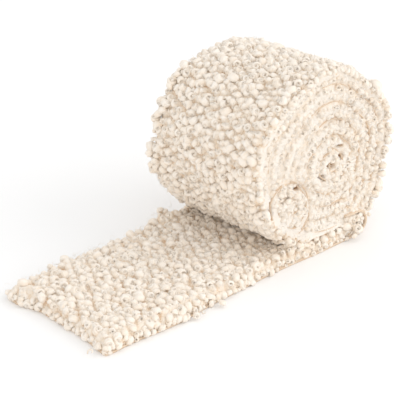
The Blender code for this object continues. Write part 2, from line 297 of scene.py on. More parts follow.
def roll_surface(angle, y, depth):
    """Points of the roll's side: the outline less a depth, pressed flat at the bottom."""
    share = np.clip(y / BAND_WIDTH + 0.5, 0.0, 1.0)
    centre_x, centre_z = section_centre(share)
    from_crown = (np.degrees(angle) - CROWN_SAG[0] + 180.0) % 360.0 - 180.0
    sag = CROWN_SAG[2] * np.exp(-((from_crown / CROWN_SAG[1]) ** 2))
    radius = outline_radius(angle, share) - depth - sag
    x = centre_x + radius * np.cos(angle)
    z = np.maximum(centre_z + radius * np.sin(angle), ROLL_FLOOR + 0.3 * depth)
    return joined(x, y + 0.0 * x, z)


def cell_distance(s, t, pitch, table):
    """Distance from each (s, t) to the nearest tuft, in pitches.

    Tufts stand on a staggered lattice that repeats with the table, each moved by its entry there.
    """
    rows, columns, _ = table.shape
    step = pitch * math.sqrt(0.75)
    row_here = np.floor(t / step)
    best = np.full(np.broadcast(s, t).shape, 9.0)
    for row_shift in (-1, 0, 1):
        row = row_here + row_shift
        shift = 0.5 * (row % 2)
        column_here = np.floor(s / pitch - shift)
        for column_shift in (-1, 0, 1):
            column = column_here + column_shift
            drift = table[row.astype(int) % rows, column.astype(int) % columns]
            from_s = s - (column + shift + 0.5 + drift[..., 0]) * pitch
            from_t = t - (row + 0.5 + drift[..., 1]) * step
            best = np.minimum(best, np.hypot(from_s, from_t) / pitch)
    return best


def tuft_table(rows, columns, seed):
    """Drift of every tuft off its lattice place, in pitches."""
    return np.random.default_rng(seed).uniform(-0.24, 0.24, (rows, columns, 2))


def tuft_places(length, width, pitch, table, between=0.0):
    """(s, t) of the tufts of cell_distance in a rectangle that starts at (0, 0).

    between moves them all by that share of the pitch, to the gaps among three tufts.
    """
    rows, columns, _ = table.shape
    step = pitch * math.sqrt(0.75)
    counts = int(round(width / step)), int(round(length / pitch))
    row, column = np.meshgrid(*map(np.arange, counts), indexing="ij")
    drift = table[row % rows, column % columns]
    s = (column + 0.5 * (row % 2) + 0.5 + drift[..., 0]) * pitch
    t = (row + 0.5 + drift[..., 1]) * step + between * pitch
    return s.ravel(), t.ravel()


def pit_share(distance):
    """0 on a tuft and 1 in the pit among three, by the distance to the nearest tuft."""
    return smooth_step(distance, 0.2, 0.62)


# Meshes


def turned(faces):
    """The same faces as seen from behind, each from the same first point."""
    return np.roll(faces[:, ::-1], 1, axis=1)


def mesh_object(name, points, faces):
    """An object from points in metres, moved to the part's origin, and groups of faces of equal size.

    The faces come clockwise as seen from outside, and are turned to face outwards.
    """
    points = np.asarray(points, float).reshape(-1, 3).copy()
    points[:, :2] -= ORIGIN
    data = bpy.data.meshes.new(name)
    data.from_pydata(points, [], [tuple(face) for group in faces for face in turned(group).tolist()])
    data.polygons.foreach_set("use_smooth", np.full(len(data.polygons), True))
    data.update()
    thing = bpy.data.objects.new(name, data)
    bpy.context.scene.collection.objects.link(thing)
    return thing


def set_tone(thing, tone):
    """Store a number for each point, which the pile's colour reads: 0 at the roots and 1 at the tips, lower
    where shade is painted.
    """
    layer = thing.data.attributes.new("tone", "FLOAT", "POINT")
    layer.data.foreach_set("value", np.asarray(tone, np.float32).ravel())


def grid_faces(rows, columns, closed=True):
    """Quads between rows of points; closed joins the last column to the first."""
    i, j = np.meshgrid(np.arange(rows - 1), np.arange(columns if closed else columns - 1), indexing="ij")
    here, there = i * columns, (i + 1) * columns
    n = (j + 1) % columns
    return joined(here + j, here + n, there + n, there + j).reshape(-1, 4)


def tube_faces(rings, sides, starts, flip=False):
    """Quads and both end caps of tubes, one from each starting point number.

    The rings turn clockwise as seen from the tube's tip, or anticlockwise where flip is set.
    """
    ring = np.arange(sides)[None]
    groups = []
    for kind in (grid_faces(rings, sides), ring[:, ::-1], ring + (rings - 1) * sides):
        kind = kind[:, ::-1] if flip else kind
        groups.append((kind[None] + starts[:, None, None]).reshape(-1, kind.shape[1]))
    return groups


def finish_piece(thing, finish):
    """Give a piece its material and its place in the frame."""
    thing.data.materials.clear()
    thing.data.materials.append(pile_of(finish))
    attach(thing, "root")
    return thing


# Ringlets


def ringlets(
    name, roots, normals, rng, size, lean=(0.4, 1.5), lift=0.0, steps=CURL_STEPS,
    turns=(1.2, 1.7), lock=CURL_LOCK, shade=1.0,
):
    """One mesh of plump curls, one at each root.

    The middle line of a curl is a spiral in a plane: at share t along it, the distance from its centre is
    size * (1 - 0.72 t) and its angle grows by the turns. The plane's axis leans away from the normal by an
    angle in lean, and the line drifts along that axis as a snail's shell does. The lock's section is an
    oval, its half thickness and half width given by lock as shares of the size, less towards the tip. Each
    end closes in a small facet. A curl that would reach below the floor is raised to lie on it.
    """
    count = len(roots)
    reach = size * rng.lognormal(0.0, 0.16, count).clip(0.7, 1.35)
    hand = rng.choice((-1.0, 1.0), count)
    side = unit(np.cross(normals, rng.normal(size=(count, 3))))
    tilt = rng.uniform(lean[0], lean[1], count)[:, None]
    axis = np.cos(tilt) * normals + np.sin(tilt) * side
    down = unit(-normals + np.sum(normals * axis, axis=1, keepdims=True) * axis)
    across = np.cross(axis, down) * hand[:, None]
    centre = roots + normals * (reach[:, None] * (0.40 * np.sin(tilt) + 0.20 * np.cos(tilt)) + lift)
    t = np.linspace(0.0, 1.0, steps + 1)[None, :]
    angle = FULL_TURN * rng.uniform(*turns, count)[:, None] * t
    distance = reach[:, None] * (1.0 - 0.72 * t**0.9)
    outwards = np.cos(angle)[..., None] * down[:, None] + np.sin(angle)[..., None] * across[:, None]
    drift = reach[:, None] * rng.uniform(0.35, 0.9, count)[:, None] * (t - 0.35)
    line = centre[:, None] + distance[..., None] * outwards + drift[..., None] * axis[:, None]
    girth = reach[:, None] * (0.6 + 0.4 * smooth_step(t, 0.0, 0.25)) * (1.0 - 0.45 * smooth_step(t, 0.4, 1.0))
    turn = FULL_TURN * (np.arange(CURL_SIDES) / CURL_SIDES + 0.5)
    ring = (
        lock[0] * np.cos(turn)[None, None, :, None] * outwards[:, :, None]
        + lock[1] * np.sin(turn)[None, None, :, None] * axis[:, None, None]
    )
    tube = above_floor(line[:, :, None] + girth[..., None, None] * ring)
    starts = np.arange(count) * (steps + 1) * CURL_SIDES
    faces = tube_faces(steps + 1, CURL_SIDES, starts[hand > 0])
    faces += tube_faces(steps + 1, CURL_SIDES, starts[hand < 0], flip=True)
    thing = mesh_object(name, tube, faces)
    # Painted shade: each curl darker towards its root, where its neighbours shade it, and by the shade
    # factor; the random factor is each curl's own tone
    tone = (0.40 + 0.40 * smooth_step(t, 0.0, 0.3)) * (rng.uniform(0.8, 1.0, count) * shade)[:, None]
    set_tone(thing, np.repeat(tone, CURL_SIDES, axis=1))
    along = np.broadcast_to(t * 9.0, (count, steps + 1)) + 7.0 * np.arange(count)[:, None]
    set_fibres(thing, np.repeat(along, CURL_SIDES, axis=1))
    return finish_piece(thing, "curl_pile")


def above_floor(tubes):
    """Raise each tube that would reach below the floor until it lies on it."""
    lowest = tubes[..., 2].min(axis=(1, 2))
    tubes[..., 2] += np.maximum(-lowest, 0.0)[:, None, None]
    return tubes


def set_fibres(thing, along):
    """A UV map that runs along a curl in U and round it in V, without a break where the ring closes."""
    loops = np.empty(len(thing.data.loops), np.int64)
    starts, sizes = np.empty((2, len(thing.data.polygons)), np.int64)
    thing.data.loops.foreach_get("vertex_index", loops)
    thing.data.polygons.foreach_get("loop_start", starts)
    thing.data.polygons.foreach_get("loop_total", sizes)
    place = loops % CURL_SIDES
    face = np.repeat(np.arange(len(starts)), sizes)
    widest = np.zeros(len(starts), np.int64)
    np.maximum.at(widest, face, place)
    closes = (sizes[face] == 4) & (widest[face] == CURL_SIDES - 1) & (place == 0)
    v = (place + CURL_SIDES * closes) / CURL_SIDES
    uv = joined(along.ravel()[loops], v)
    thing.data.uv_layers.new(name="fibres").data.foreach_set("uv", uv.astype(np.float32).ravel())


def fuzz(name, roots, normals, rng, length):
    """One mesh of fine loose fibres: three-sided tubes that stand up and turn over in a curl.

    At share t along it a fibre has risen by the length times sin(bend t) / bend along the normal, and gone
    (1 - cos(bend t)) / bend sideways, so it is an arc of a circle that winds by the bend.
    """
    count = len(roots)
    long = length * rng.uniform(0.6, 1.35, count)[:, None, None]
    side = unit(np.cross(normals, rng.normal(size=(count, 3))))
    other = np.cross(normals, side)
    t = np.linspace(0.0, 1.0, FIBRE_STEPS + 1)[None, :, None]
    bend = rng.uniform(1.2, 4.6, count)[:, None, None]
    rise = long * np.sin(bend * t) / bend * normals[:, None]
    away = long * (1.0 - np.cos(bend * t)) / bend * side[:, None]
    line = roots[:, None] + rise + away + 0.18 * long * t * other[:, None]
    turn = FULL_TURN * np.arange(FIBRE_SIDES) / FIBRE_SIDES
    ring = np.cos(turn)[None, :, None] * side[:, None] + np.sin(turn)[None, :, None] * other[:, None]
    girth = FIBRE_RADIUS * (1.0 - 0.6 * t[..., 0])
    tube = above_floor(line[:, :, None] + girth[..., None, None] * ring[:, None])
    starts = np.arange(count) * (FIBRE_STEPS + 1) * FIBRE_SIDES
    thing = mesh_object(name, tube, tube_faces(FIBRE_STEPS + 1, FIBRE_SIDES, starts, flip=True))
    # Painted shade: each fibre a little darker towards its root
    set_tone(thing, np.broadcast_to(0.8 + 0.2 * t, tube.shape[:3]))
    return finish_piece(thing, "fine_pile")


# The layers at the roll's ends


def end_frame(share):
    """Places of the main whorl and the second whorl in one end of the roll."""
    centre = np.array(section_centre(share))
    return centre, centre + WHORL_OFFSET, centre + PLEAT_OFFSET


def whorl_reach(angle, share):
    """Distance from the main whorl to the roll's side at each angle, read off the outline seen from there."""
    centre, whorl, _ = end_frame(share)
    around = np.linspace(0.0, FULL_TURN, 361)[:-1]
    seen, reach = polar(centre + outline_radius(around, share)[:, None] * facing(around) - whorl)
    return np.interp(angle, seen, reach, period=FULL_TURN)


def layer_line(turn, inwards, share):
    """The line outside a layer after so many turns from the whorl, or that many layers further in.

    Its distance from the whorl is the reach at its angle times (turn / layers) ^ (1 / crowding).
    """
    _, whorl, _ = end_frame(share)
    angle = SEAM_ANGLE + FULL_TURN * turn
    share_out = (np.maximum(turn - inwards, 0.0) / (LAYERS + turn % 1.0)) ** (1.0 / LAYER_CROWDING)
    radius = whorl_reach(angle, share) * share_out
    return whorl + radius[:, None] * facing(angle)


def pleat_axes():
    along = np.array((math.cos(PLEAT_TILT), math.sin(PLEAT_TILT)))
    return along, np.array((-along[1], along[0]))


def pleat_line(turn, inwards, share):
    """The same for the oval second whorl, whose last turn stays on its edge."""
    _, _, pleat = end_frame(share)
    along, across = pleat_axes()
    angle = FULL_TURN * turn
    size = np.minimum(np.maximum(turn - inwards, 0.0) / PLEAT_TURNS, 1.0)[:, None]
    return pleat + size * (
        PLEAT_RADII[0] * np.cos(angle)[:, None] * along + PLEAT_RADII[1] * np.sin(angle)[:, None] * across
    )


def pleat_plane(points, share):
    """Places of points along both axes of the second whorl, as shares of its radii."""
    _, _, pleat = end_frame(share)
    along, across = pleat_axes()
    offset = points - pleat
    return offset @ along / PLEAT_RADII[0], offset @ across / PLEAT_RADII[1]


def pleat_share(points, share):
    """Distance of each point from the second whorl, 1 on its oval edge."""
    return np.hypot(*pleat_plane(points, share))


def evenly(line, inwards, last, share, pitch, rng):
    """Turns at which the line, so many layers further in, passes points a pitch apart, a little unevenly."""
    turns = np.linspace(inwards + 0.2, last, 4000)
    step = np.linalg.norm(np.diff(line(turns, inwards, share), axis=0), axis=1)
    step[step > 0.004] = 0.0
    length = np.concatenate(((0.0,), np.cumsum(step)))
    wanted = np.arange(0.5 * pitch, length[-1], pitch)
    wanted += pitch * rng.uniform(-0.25, 0.25, len(wanted))
    return np.interp(wanted, length, turns)


def gap_depth(points, margin=0.0):
    """1 in the wedge-shaped gaps between layers at the near end, 0 a little way off them.

    The open side of the second whorl is a gap too: a narrow one along its oval edge. margin widens them.
    """
    _, _, pleat = end_frame(0.0)
    rim, start, end = PLEAT_GAP
    from_edge = np.abs(pleat_share(points, 0.0) - rim)
    heading = np.degrees(polar(points - pleat)[0]) % 360.0
    window = smooth_step(heading, start - 12.0, start) * (1.0 - smooth_step(heading, end, end + 12.0))
    reach = PLEAT_GAP_WIDTH + margin / PLEAT_RADII[1]
    deepest = window * (1.0 - smooth_step(from_edge, 0.7 * reach, 1.3 * reach))
    for x, z, half_long, half_wide, tilt in GAPS:
        half_long, half_wide = half_long + margin, half_wide + margin
        tilt = math.radians(tilt)
        offset = points - (np.array((x, z)) + ORIGIN * (1.0, 0.0))
        along = offset[..., 0] * math.cos(tilt) + offset[..., 1] * math.sin(tilt)
        across = offset[..., 1] * math.cos(tilt) - offset[..., 0] * math.sin(tilt)
        # A wedge: its width shrinks towards one end
        width = half_wide * np.clip(0.65 - 0.45 * along / half_long, 0.1, 1.2)
        inside = np.hypot(along / half_long, across / width)
        deepest = np.maximum(deepest, 1.0 - smooth_step(inside, 0.75, 1.25))
    return deepest


def tan_patches(points):
    """1 in the middle of the patches of the roll's ends where the backing shows through, 0 off them."""
    distance = cell_distance(points[..., 0] + 1.0, points[..., 1] + 1.0, TAN_PITCH, tuft_table(32, 32, 8))
    return (1.0 - smooth_step(distance, 0.12, 0.36)) * smooth_step(points[..., 0], 0.060, 0.085)


def on_smooth_edge(points):
    """Whether points of the near end lie on the smooth edge of the outermost layer."""
    angle, distance = polar(points - SECTION_NEAR)
    degrees = np.degrees(angle) % 360.0
    start, end, inner = SMOOTH_EDGE
    return (degrees > start) & (degrees < end) & (distance / outline_radius(angle, 0.0) > inner)


def groove_depth(points, share):
    """0 on the crown of a layer and 1 in the groove between two, all over one end of the roll.

    In the main whorl it is the cosine of the distance in layers; inside the second whorl, of its own.
    """
    _, whorl, _ = end_frame(share)
    angle, distance = polar(points - whorl)
    part_turn = ((angle - SEAM_ANGLE) / FULL_TURN) % 1.0
    out = distance / whorl_reach(angle, share)
    layer = (LAYERS + part_turn) * out**LAYER_CROWDING - part_turn
    main = 0.5 + 0.5 * np.cos(FULL_TURN * layer)
    first, second = pleat_plane(points, share)
    inner = np.hypot(first, second)
    inner_turn = (np.arctan2(second, first) / FULL_TURN) % 1.0
    small = 0.5 + 0.5 * np.cos(FULL_TURN * (PLEAT_TURNS * inner - inner_turn))
    edge = np.exp(-(((inner - PLEAT_RIM) / 0.09) ** 2))
    depth = np.maximum(np.where(inner < PLEAT_RIM, small, main), 1.25 * edge)
    return np.where(on_smooth_edge(points), 0.1, depth) if share == 0.0 else depth


# Materials


def new_material(name, roughness, specular):
    """A material with its node tree and its shader."""
    material = bpy.data.materials.new(name)
    material.use_nodes = True
    shader = material.node_tree.nodes["Principled BSDF"]
    shader.inputs["Roughness"].default_value = roughness
    shader.inputs["Specular IOR Level"].default_value = specular
    return material, material.node_tree, shader


def add_node(tree, kind, values=None, sources=None):
    """A new node, with the values of its inputs and the sockets that feed them, both by the input's name."""
    node = tree.nodes.new(f"ShaderNode{kind}")
    for name, value in (values or {}).items():
        node.inputs[name].default_value = value
    for name, socket in (sources or {}).items():
        tree.links.new(socket, node.inputs[name])
    return node


def colour_and_bump(tree, shader, tone, stops, height, distance):
    """Feed the shader a colour ramp of the tone, from pairs of place and colour, and a bump of the height."""
    ramp = add_node(tree, "ValToRGB", sources={"Fac": tone})
    elements = ramp.color_ramp.elements
    for _ in stops[2:]:
        elements.new(1.0)
    for element, (place, colour) in zip(elements, stops):
        element.position = place
        element.color = (*colour, 1.0)
    bump = add_node(tree, "Bump", {"Strength": 1.0, "Distance": distance}, {"Height": height})
    tree.links.new(ramp.outputs["Color"], shader.inputs["Base Color"])
    tree.links.new(bump.outputs["Normal"], shader.inputs["Normal"])


def pile_material(name, tips, roots, shaded, curled):
    """Cream fibre: its tone runs from the painted shade colour of pits and gaps, by the roots' colour, warm
    with painted shade at the pile's base, to the tips', with a fine fibrous bump.

    On the curls the fibres run along the tube, by its own UV map, and on the fine pile they lie any way.
    """
    material, tree, shader = new_material(name, 0.9, 0.25)
    shader.inputs["Sheen Weight"].default_value = 0.25
    shader.inputs["Sheen Roughness"].default_value = 0.5
    place = add_node(tree, "TexCoord").outputs
    tone = add_node(tree, "Attribute")
    tone.attribute_name = "tone"
    patches = add_node(tree, "TexNoise", {"Scale": 150.0, "Detail": 3.0}, {"Vector": place["Object"]})
    if curled:
        stretch = add_node(tree, "Mapping", {"Scale": (0.45, 8.0, 1.0)}, {"Vector": place["UV"]})
        scale, vector = 1.0, stretch.outputs["Vector"]
    else:
        scale, vector = 1600.0, place["Object"]
    fibres = add_node(tree, "TexNoise", {"Scale": scale, "Detail": 2.0}, {"Vector": vector})
    total = tone.outputs["Fac"]
    for source, amount in ((patches, 0.32), (fibres, 0.52)):
        spread = {"To Min": -amount, "To Max": amount}
        uneven = add_node(tree, "MapRange", spread, {"Value": source.outputs["Fac"]})
        add = add_node(tree, "Math", sources={0: total, 1: uneven.outputs["Result"]})
        add.operation = "ADD"
        total = add.outputs["Value"]
    stops = ((0.0, shaded), (0.25, roots), (0.92, tips))
    colour_and_bump(tree, shader, total, stops, fibres.outputs["Fac"], 0.0005)
    return material


def cloth_material(name, light, dark):
    """The backing: a fine knit, whose ribs are waves along X and whose stitches are waves along Y."""
    material, tree, shader = new_material(name, 0.9, 0.2)
    place = add_node(tree, "TexCoord").outputs["Object"]
    waves = []
    for direction, scale in (("X", KNIT_RIBS), ("Y", KNIT_STITCHES)):
        wave = add_node(tree, "TexWave", {"Scale": scale, "Distortion": 0.8}, {"Vector": place})
        wave.bands_direction = direction
        waves.append(wave.outputs["Fac"])
    both = add_node(tree, "Math", sources=dict(enumerate(waves)))
    both.operation = "MULTIPLY"
    height = both.outputs["Value"]
    colour_and_bump(tree, shader, height, ((0.0, dark), (1.0, light)), height, 0.0002)
    return material


class PileSettings(bpy.types.PropertyGroup):
    """Sizes and colours of the pile that a user would change."""

    curl_size: bpy.props.FloatProperty(
        name="Curl size", description="Distance from a curl's centre to the middle of its outermost turn",
        default=0.00270, min=0.0005, unit="LENGTH",
    )
    curl_pitch: bpy.props.FloatProperty(
        name="Curl pitch", description="Distance from one curl to the next on the face of the band",
        default=0.00660, min=0.001, unit="LENGTH",
    )
    tip_colour: bpy.props.FloatVectorProperty(
        name="Tip colour", description="Colour of the pile at the tips of its curls",
        subtype="COLOR", size=3, default=(0.935, 0.868, 0.785), min=0.0, max=1.0,
    )
    # The pile's colour at its base, darker and warmer for the painted shade among the curls; also the
    # backing's colour
    root_colour: bpy.props.FloatVectorProperty(
        name="Root colour", description="Colour of the pile at its roots",
        subtype="COLOR", size=3, default=(0.885, 0.745, 0.59), min=0.0, max=1.0,
    )
    # Painted shade: the colour that the tone runs down to in the pits among the tufts and in the gaps between
    # layers
    painted_shade_colour: bpy.props.FloatVectorProperty(
        name="Deep colour", description="Colour of the pile inside the gaps between layers",
        subtype="COLOR", size=3, default=(0.60, 0.37, 0.20), min=0.0, max=1.0,
    )
    side_fibres: bpy.props.IntProperty(
        name="Fibres on the roll", description="How many loose fibres stand out of the roll's side",
        default=3600, min=0,
    )
    end_fibres: bpy.props.IntProperty(
        name="Fibres on each end", description="How many loose fibres stand out of each end of the roll",
        default=2100, min=0,
    )
    loose_fibres: bpy.props.IntProperty(
        name="Fibres on the loose end", description="How many loose fibres stand out of the loose end",
        default=2100, min=0,
    )


def pile_of(finish):
    """The material of that name, made when it is first asked for."""
    found = bpy.data.materials.get(finish)
    if found:
        return found
    settings = bpy.context.scene.fur_trim
    # The roots' colour, warm with painted shade, is also the backing's colour; the painted shade colour
    # darkens pits and gaps, and the knit's dark lies halfway to it
    tips, roots, shaded = settings.tip_colour, settings.root_colour, settings.painted_shade_colour
    if finish == "backing_cloth":
        return cloth_material(finish, roots, mix(np.array(roots), np.array(shaded), 0.5))
    return pile_material(finish, tips, roots, shaded, finish == "curl_pile")


class TRIM_OT_roll_mass(bpy.types.Operator):
    """Make the wound part's mass of fine pile, with the layers at both ends"""

    bl_idname = "trim.roll_mass"
    bl_label = "Roll pile mass"

    def execute(self, context):
        settings = context.scene.fur_trim
        half = BAND_WIDTH / 2.0
        mass_half = half - END_SETBACK
        k = np.arange(MASS_AROUND)
        n = (k + 1) % MASS_AROUND
        # Side, rounded over at both ends
        bend = np.linspace(0.0, math.pi / 2.0, 7)[:-1]
        y_edge = -mass_half + SHOULDER * (1.0 - np.cos(bend))
        inset_edge = SHOULDER * (1.0 - np.sin(bend))
        y_flat = np.linspace(-mass_half + SHOULDER, mass_half - SHOULDER, MASS_ACROSS)
        inset = np.concatenate((inset_edge, 0.0 * y_flat, inset_edge[::-1]))[:, None]
        angle, y = np.meshgrid(FULL_TURN * k / MASS_AROUND, np.concatenate((y_edge, y_flat, -y_edge[::-1])))
        along = angle / FULL_TURN * roll_girth(settings)
        lump = cell_distance(along, y + half + ROW_SHIFT, settings.curl_pitch, curl_table_roll(settings))
        side = roll_surface(angle, y, inset + MASS_DEPTH + 0.0020 * smooth_step(lump, 0.25, 0.62))
        points = [side.reshape(-1, 3)]
        faces = [grid_faces(len(side), MASS_AROUND)]
        tones = [mass_tone(pit_share(lump), side)]
        total = lump.size
        # Ends, in rings from the side's last row in to the whorl
        for sign, share, rings, row in ((-1.0, 0.0, NEAR_RINGS, 0), (1.0, 1.0, FAR_RINGS, len(side) - 1)):
            _, whorl, _ = end_frame(share)
            fall = np.linspace(1.0, 0.0, rings + 1)[1:-1]
            flat = whorl + fall[:, None, None] * (side[row][:, [0, 2]] - whorl)[None]
            depth = groove_depth(flat, share)
            grain = cell_distance(flat[..., 0] + 1.0, flat[..., 1] + 1.0, END_GRAIN, tuft_table(64, 64, 5))
            grain = pit_share(grain)
            gap = gap_depth(flat) if sign < 0 else 0.0 * depth
            lift = -0.0012 * depth - 0.0006 * grain - GAP_DEPTH * gap
            lift *= 1.0 - smooth_step(fall, 0.95, 1.0)[:, None]
            points.append(joined(flat[..., 0], sign * (mass_half + lift), flat[..., 1]).reshape(-1, 3))
            points.append(np.array(((whorl[0], sign * (half - 0.0035), whorl[1]),)))
            # Painted shade: the ends' fine pile is darker in the grooves between layers, in the pits among
            # its small lumps, in the gaps and at the whorl's sunken middle point
            tone = 0.95 - 0.40 * np.clip(depth, 0, 1) ** 3 - 0.15 * grain - 1.5 * gap
            tones += [(tone - 0.30 * tan_patches(flat)).ravel(), np.array((0.2,))]
            first = row * MASS_AROUND
            last = total + (rings - 2) * MASS_AROUND
            middle = last + MASS_AROUND
            bridge = joined(first + k, total + k, total + n, first + n)
            inner = grid_faces(rings - 1, MASS_AROUND)[:, ::-1] + total
            fan = joined(last + k, middle, last + n)
            faces += [kind if sign < 0 else kind[:, ::-1] for kind in (bridge, inner, fan)]
            total = middle + 1
        thing = mesh_object("roll_mass", np.concatenate(points), faces)
        set_tone(thing, np.concatenate(tones))
        finish_piece(thing, "fine_pile")
        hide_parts("fur_roll")
        return {"FINISHED"}


class TRIM_OT_fuzz(bpy.types.Operator):
    """Raise the loose fibres that soften the pile and its outline"""

    bl_idname = "trim.fuzz"
    bl_label = "Loose fibres"

    def execute(self, context):
        settings = context.scene.fur_trim
        half = BAND_WIDTH / 2.0
        rng = np.random.default_rng(71)
        angle = rng.uniform(0.0, FULL_TURN, settings.side_fibres)
        y = rng.uniform(-half, half, settings.side_fibres)
        roots, normals = roll_side_places(angle, y, -0.0012)
        keep = roots[:, 2] > ROLL_FLOOR + 0.006
        fuzz("roll_fuzz", roots[keep], scatter(normals[keep], 0.5, rng), rng, FIBRE_LENGTH)
        roots, normals = [], []
        for sign, share in ((-1.0, 0.0), (1.0, 1.0)):
            count = settings.end_fibres
            angle = rng.uniform(0.0, FULL_TURN, count)
            centre, _, _ = end_frame(share)
            radius = (outline_radius(angle, share) - 0.002) * np.sqrt(rng.uniform(0.0, 1.0, count))
            flat = centre + radius[:, None] * facing(angle)
            clear = flat[:, 1] > ROLL_FLOOR + 0.005
            if sign < 0:
                clear &= gap_depth(flat) < 0.1
            flat = flat[clear]
            roots.append(joined(flat[:, 0], sign * (half + 0.0003), flat[:, 1]))
            normals.append(np.tile((0.0, sign, 0.0), (len(flat), 1)))
        roots, normals = np.concatenate(roots), np.concatenate(normals)
        fuzz("end_fuzz", roots, scatter(normals, 0.8, rng), rng, END_FIBRE_LENGTH)
        u, v = (rng.uniform(0.0, 1.0, settings.loose_fibres) for _ in range(2))
        x, y = strip_plan(u, v)
        free = (x < 0.046) | (np.abs(y) > 0.047)
        x, y = x[free], y[free]
        roots = joined(x, y, 0.0108 + strip_height(x, y))
        normals = np.tile((0.0, 0.0, 1.0), (len(x), 1))
        fuzz("loose_fuzz", roots, scatter(normals, 0.5, rng), rng, FIBRE_LENGTH)
        return {"FINISHED"}


def nip_shade(points):
    """Factor on the tone: less where the roll comes down on the loose end, whose pile shades itself there."""
    roll = smooth_step(points[..., 2], 0.013, 0.042)
    left_of_roll = smooth_step(points[..., 0], -0.004, 0.030) * (points[..., 0] < 0.060)
    return 1.0 - 0.3 * left_of_roll * (1.0 - roll)


def mass_tone(pits, points):
    """Tone of the fine pile: light on its tufts, with painted shade in its pits and where the roll shades it.
    """
    return ((0.62 - 0.45 * pits) * nip_shade(points)).ravel()


def scatter(normals, spread, rng):
    return unit(normals + rng.normal(0.0, spread, normals.shape))


def roll_side_places(angle, y, depth):
    """Points on the roll's side below its outline by a depth, rounded at the band's edges, with normals."""
    half = BAND_WIDTH / 2.0
    lean_out = np.clip((np.abs(y) - (half - SHOULDER)) / SHOULDER, 0.0, 1.0) * np.sign(y)
    inset = SHOULDER * (1.0 - np.sqrt(1.0 - np.minimum(np.abs(lean_out), 0.95) ** 2))
    roots = roll_surface(angle, y, inset + depth)
    tangent = unit(roll_surface(angle + 0.01, y, inset + depth) - roots)
    out = joined(tangent[:, 2], np.zeros(len(y)), -tangent[:, 0])
    sideways = np.array((0.0, 1.0, 0.0)) * lean_out[:, None]
    return roots, unit(out * np.sqrt(1.0 - 0.8 * lean_out**2)[:, None] + sideways)


def roll_girth(settings):
    """Length round the roll that holds a whole number of curls."""
    return settings.curl_pitch * round(ROLL_GIRTH / settings.curl_pitch)


def curl_table_roll(settings):
    return tuft_table(64, round(ROLL_GIRTH / settings.curl_pitch), 11)


class TRIM_OT_roll_curls(bpy.types.Operator):
    """Stand the curls on the roll's side"""

    bl_idname = "trim.roll_curls"
    bl_label = "Roll curls"

    def execute(self, context):
        settings = context.scene.fur_trim
        half = BAND_WIDTH / 2.0
        girth = roll_girth(settings)
        table = curl_table_roll(settings)
        for name, between, share, steps in (
            ("roll_curls", 0.0, 1.0, CURL_STEPS),
            ("roll_small_curls", BETWEEN_TUFTS, SMALL_CURL, SMALL_STEPS),
        ):
            s, t = tuft_places(girth, BAND_WIDTH + 2.0 * ROW_SHIFT, settings.curl_pitch, table, between)
            angle, y = s / girth * FULL_TURN, np.clip(t - half - ROW_SHIFT, -half + 0.0012, half - 0.0012)
            roots, normals = roll_side_places(angle, y, ROOT_DEPTH)
            keep = roots[:, 2] > ROLL_FLOOR + 0.0035
            for number in (0, 1):
                chosen = keep & ((angle / FULL_TURN * 2.0).astype(int) % 2 == number)
                size = settings.curl_size * share * (1.0 - 0.25 * (np.abs(y[chosen]) > half - 0.004))
                rng = np.random.default_rng(20 + number)
                ringlets(
                    f"{name}_{number + 1}", roots[chosen], normals[chosen], rng, size,
                    steps=steps, shade=nip_shade(roots[chosen]),
                )
        rng = np.random.default_rng(29)
        places = np.repeat(np.array(TUFTS), TUFT_CURLS, axis=0)
        angle = np.radians(places[:, 0]) + rng.normal(0.0, 0.035, len(places))
        y = np.clip(places[:, 1] + rng.normal(0.0, 0.0022, len(places)), -half + 0.001, half - 0.001)
        roots, normals = roll_side_places(angle, y, -0.0008)
        ringlets("roll_tufts", roots, scatter(normals, 0.2, rng), rng, settings.curl_size)
        return {"FINISHED"}


class TRIM_OT_end_curls(bpy.types.Operator):
    """Set the smaller, pressed curls along the layers at both ends of the roll"""

    bl_idname = "trim.end_curls"
    bl_label = "Curls of the roll's ends"

    def execute(self, context):
        half = BAND_WIDTH / 2.0
        for name, sign, share, pitch, seed in (
            ("near", -1.0, 0.0, 0.0042, 31),
            ("far", 1.0, 1.0, 0.0046, 37),
        ):
            rng = np.random.default_rng(seed)
            places = []
            for inwards in (0.27, 0.73):
                turns = evenly(layer_line, inwards, LAYERS + 0.98, share, pitch, rng)
                points = layer_line(turns, inwards, share)
                places.append(points[pleat_share(points, share) > 1.12])
            for inwards in (0.2, 0.5, 0.8):
                turns = evenly(pleat_line, inwards, PLEAT_TURNS + 0.5, share, pitch, rng)
                places.append(pleat_line(turns, inwards, share))
            flat = np.concatenate(places)
            flat += rng.normal(0.0, 0.0007, flat.shape)
            flat = flat[flat[:, 1] > ROLL_FLOOR + 0.003]
            if sign < 0:
                flat = flat[(gap_depth(flat, 0.0019) < 0.1) & ~on_smooth_edge(flat)]
            level = half - END_SETBACK - 0.0010 + rng.uniform(-0.0006, 0.0006, len(flat))
            roots = joined(flat[:, 0], sign * level, flat[:, 1])
            normals = unit(np.array((0.0, sign, 0.0)) + rng.normal(0.0, 0.22, roots.shape))
            ringlets(
                f"{name}_end_curls", roots, normals, rng, END_CURL_SIZE, lift=-0.0008, steps=SMALL_STEPS,
                shade=1.0 - 0.30 * tan_patches(flat),
            )
            layer_edges(f"{name}_backing_edges", sign, share)
        return {"FINISHED"}


